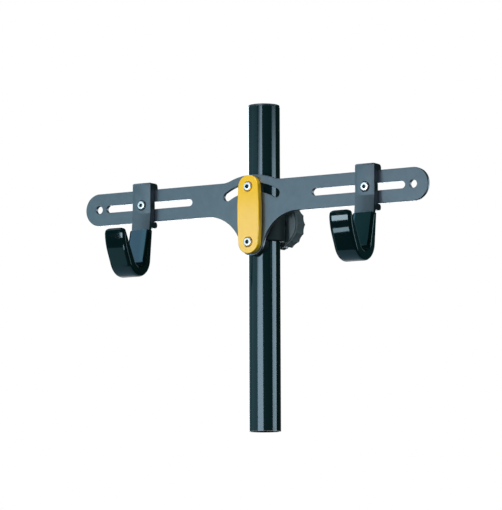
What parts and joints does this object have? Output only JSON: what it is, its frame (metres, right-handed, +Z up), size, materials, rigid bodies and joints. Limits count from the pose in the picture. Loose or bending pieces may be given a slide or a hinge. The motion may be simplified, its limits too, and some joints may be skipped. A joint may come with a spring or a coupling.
{
  "type": "bike storage tower",
  "caption": "Upper section of a bike storage tower: round mast, clamp that slides and turns on it, tilting slotted cross arm, and padded J-hooks that slide along the arm.",
  "frame": {"origin": "centre of the mast section's lower end", "axes": "+Z up along the mast, +X to the right along the cross arm, -Y towards the front, where the hooks point"},
  "size_m": [0.4732, 0.1433, 0.3882],
  "materials": {
    "gloss_black_paint": "gloss powder coat",
    "grey_blue_paint": "fine satin powder coat",
    "yellow_paint": "satin paint",
    "black_casting": "matte paint on a casting",
    "zinc_steel": "bright zinc plate",
    "black_steel": "blackened steel",
    "brass_insert": "turned",
    "black_nylon": "moulded, matte",
    "white_nylon": "moulded, satin",
    "black_plastic": "moulded, satin",
    "gloss_vinyl": "soft dipped vinyl, gloss"
  },
  "bodies": {
    "mast": {"mast_tube": "gloss_black_paint", "mast_plug": "black_nylon"},
    "liner": {"clamp_liner": "black_nylon"},
    "clamp": {"clamp_body": "black_casting", "clamp_insert": "brass_insert", "link_plate": "yellow_paint", "pivot_screw": "zinc_steel", "guide_screw": "zinc_steel", "pivot_bush": "zinc_steel", "guide_bush": "zinc_steel", "rear_friction_washer": "white_nylon", "front_friction_washer": "white_nylon"},
    "arm": {"cross_arm": "grey_blue_paint"},
    "left_hook": {"left_hook_bracket": "grey_blue_paint", "left_hook_cover": "gloss_vinyl", "left_hook_screw": "zinc_steel", "left_hook_nut": "black_steel"},
    "right_hook": {"right_hook_bracket": "grey_blue_paint", "right_hook_cover": "gloss_vinyl", "right_hook_screw": "zinc_steel", "right_hook_nut": "black_steel"},
    "shoe": {"pressure_shoe": "brass_insert"},
    "knob": {"knob": "black_plastic", "knob_bolt": "zinc_steel", "knob_cap": "black_plastic"}
  },
  "joints": [
    {"name": "height_slide", "type": "slide", "parent": "mast", "child": "liner", "axis": [0, 0, 1], "range_m": [-0.18, 0.11]},
    {"name": "mast_turn", "type": "hinge", "parent": "liner", "child": "clamp", "pos_m": [0, 0, 0.2486], "axis": [0, 0, 1], "continuous": true},
    {"name": "arm_tilt", "type": "hinge", "parent": "clamp", "child": "arm", "pos_m": [0, -0.0264, 0.2212], "axis": [0, 1, 0], "range_deg": [-30, 30]},
    {"name": "left_hook_slide", "type": "slide", "parent": "arm", "child": "left_hook", "axis": [1, 0, 0], "range_m": [-0.0524, 0.0623]},
    {"name": "right_hook_slide", "type": "slide", "parent": "arm", "child": "right_hook", "axis": [1, 0, 0], "range_m": [-0.0712, 0.0435]},
    {"name": "shoe_slide", "type": "slide", "parent": "clamp", "child": "shoe", "axis": [0, 1, 0], "range_m": [0, 0.0026]},
    {"name": "knob_turn", "type": "hinge", "parent": "shoe", "child": "knob", "pos_m": [0, 0.037, 0.2484], "axis": [0, 1, 0], "range_deg": [0, 720]}
  ],
  "couplings": [
    {"joint": "shoe_slide", "follows": "knob_turn", "m_per_rad": 0.00019894}
  ]
}
